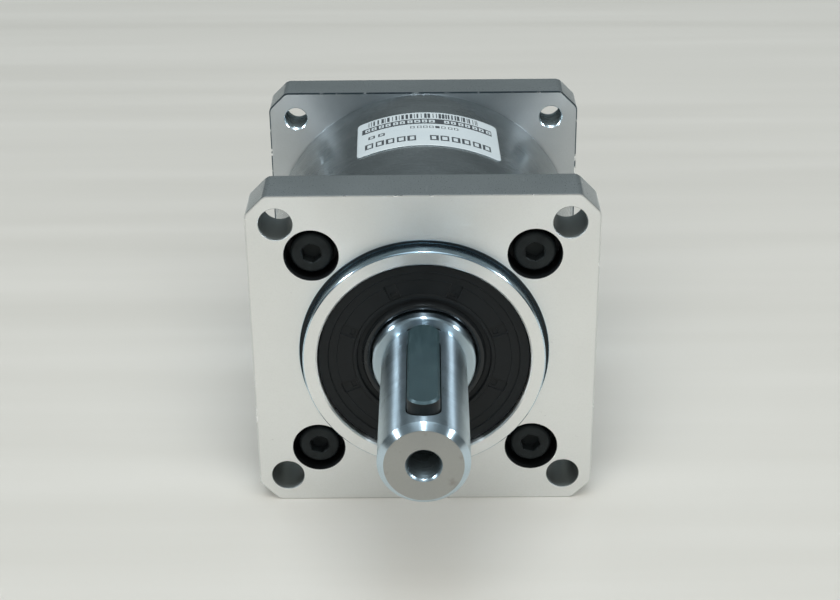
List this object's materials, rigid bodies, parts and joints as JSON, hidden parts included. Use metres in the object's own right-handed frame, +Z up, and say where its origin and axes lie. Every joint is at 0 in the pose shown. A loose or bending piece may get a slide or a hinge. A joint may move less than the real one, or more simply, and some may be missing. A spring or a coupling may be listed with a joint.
{
  "type": "planetary gearbox",
  "caption": "Square-flanged single-stage planetary gearbox with a keyed output shaft, a sealed pilot boss and a clamp-hub motor input.",
  "frame": {"origin": "on the shaft axis, halfway along the overall length", "axes": "-Y along the output shaft, out of the gearbox; +X to the right seen from the output side; +Z up, through the key"},
  "size_m": [0.057, 0.09, 0.057],
  "materials": {
    "bright_aluminium": "satin, finely faced, bright",
    "dark_aluminium": "satin dark grey",
    "ground_steel": "fine turned and ground steel",
    "gear_steel": "oiled steel",
    "black_steel": "black oxide",
    "key_steel": "blued, satin",
    "bearing_steel": "polished",
    "brass": "satin",
    "black_rubber": "matte moulded rubber",
    "white_label": "printed polyester sticker"
  },
  "bodies": {
    "housing": {"output_flange": "bright_aluminium", "gear_case": "dark_aluminium", "input_flange": "dark_aluminium", "front_screw_1": "black_steel", "front_screw_2": "black_steel", "front_screw_3": "black_steel", "front_screw_4": "black_steel", "rear_screw_1": "black_steel", "rear_screw_2": "black_steel", "rear_screw_3": "black_steel", "rear_screw_4": "black_steel", "front_bearing_outer_ring": "bearing_steel", "middle_bearing_outer_ring": "bearing_steel", "input_bearing_outer_ring": "bearing_steel", "output_seal": "black_rubber", "seal_garter_spring": "gear_steel", "front_o_ring": "black_rubber", "rear_o_ring": "black_rubber", "access_plug": "black_steel", "label": "white_label"},
    "output_carrier": {"output_shaft": "ground_steel", "shaft_key": "key_steel", "front_bearing_inner_ring": "bearing_steel", "middle_bearing_inner_ring": "bearing_steel", "bearing_spacer": "gear_steel", "retaining_ring": "gear_steel", "carrier_rear_plate": "gear_steel", "carrier_screw_1": "black_steel", "carrier_screw_2": "black_steel", "carrier_screw_3": "black_steel", "planet_pin_1": "bearing_steel", "planet_pin_2": "bearing_steel", "planet_pin_3": "bearing_steel", "thrust_washer_1": "brass", "thrust_washer_2": "brass", "thrust_washer_3": "brass", "thrust_washer_4": "brass", "thrust_washer_5": "brass", "thrust_washer_6": "brass"},
    "sun_hub": {"sun_gear_hub": "gear_steel", "clamp_collar": "black_steel", "clamp_screw": "black_steel", "input_bearing_inner_ring": "bearing_steel"},
    "planet_1": {"planet_gear_1": "gear_steel", "planet_bush_1": "brass"},
    "planet_2": {"planet_gear_2": "gear_steel", "planet_bush_2": "brass"},
    "planet_3": {"planet_gear_3": "gear_steel", "planet_bush_3": "brass"},
    "front_balls": {"front_bearing_balls": "brass"},
    "middle_balls": {"middle_bearing_balls": "brass"},
    "input_balls": {"input_bearing_balls": "brass"}
  },
  "joints": [
    {"name": "output_spin", "type": "hinge", "parent": "housing", "child": "output_carrier", "pos_m": [0, -0.01035, 0], "axis": [0, -1, 0], "continuous": true},
    {"name": "sun_spin", "type": "hinge", "parent": "housing", "child": "sun_hub", "pos_m": [0, 0.03415, 0], "axis": [0, -1, 0], "continuous": true},
    {"name": "planet_1_spin", "type": "hinge", "parent": "output_carrier", "child": "planet_1", "pos_m": [0, 0.02195, 0.012], "axis": [0, -1, 0], "continuous": true},
    {"name": "planet_2_spin", "type": "hinge", "parent": "output_carrier", "child": "planet_2", "pos_m": [-0.01039, 0.02195, -0.006], "axis": [0, -1, 0], "continuous": true},
    {"name": "planet_3_spin", "type": "hinge", "parent": "output_carrier", "child": "planet_3", "pos_m": [0.01039, 0.02195, -0.006], "axis": [0, -1, 0], "continuous": true},
    {"name": "front_balls_spin", "type": "hinge", "parent": "housing", "child": "front_balls", "pos_m": [0, -0.00115, 0], "axis": [0, -1, 0], "continuous": true},
    {"name": "middle_balls_spin", "type": "hinge", "parent": "housing", "child": "middle_balls", "pos_m": [0, 0.00755, 0], "axis": [0, -1, 0], "continuous": true},
    {"name": "input_balls_spin", "type": "hinge", "parent": "housing", "child": "input_balls", "pos_m": [0, 0.03415, 0], "axis": [0, -1, 0], "continuous": true}
  ],
  "couplings": [
    {"joint": "sun_spin", "follows": "output_spin", "ratio": 5},
    {"joint": "planet_1_spin", "follows": "output_spin", "ratio": -2.6667},
    {"joint": "planet_2_spin", "follows": "output_spin", "ratio": -2.6667},
    {"joint": "planet_3_spin", "follows": "output_spin", "ratio": -2.6667},
    {"joint": "front_balls_spin", "follows": "output_spin", "ratio": 0.4135},
    {"joint": "middle_balls_spin", "follows": "output_spin", "ratio": 0.4309},
    {"joint": "input_balls_spin", "follows": "output_spin", "ratio": 2.3138}
  ]
}
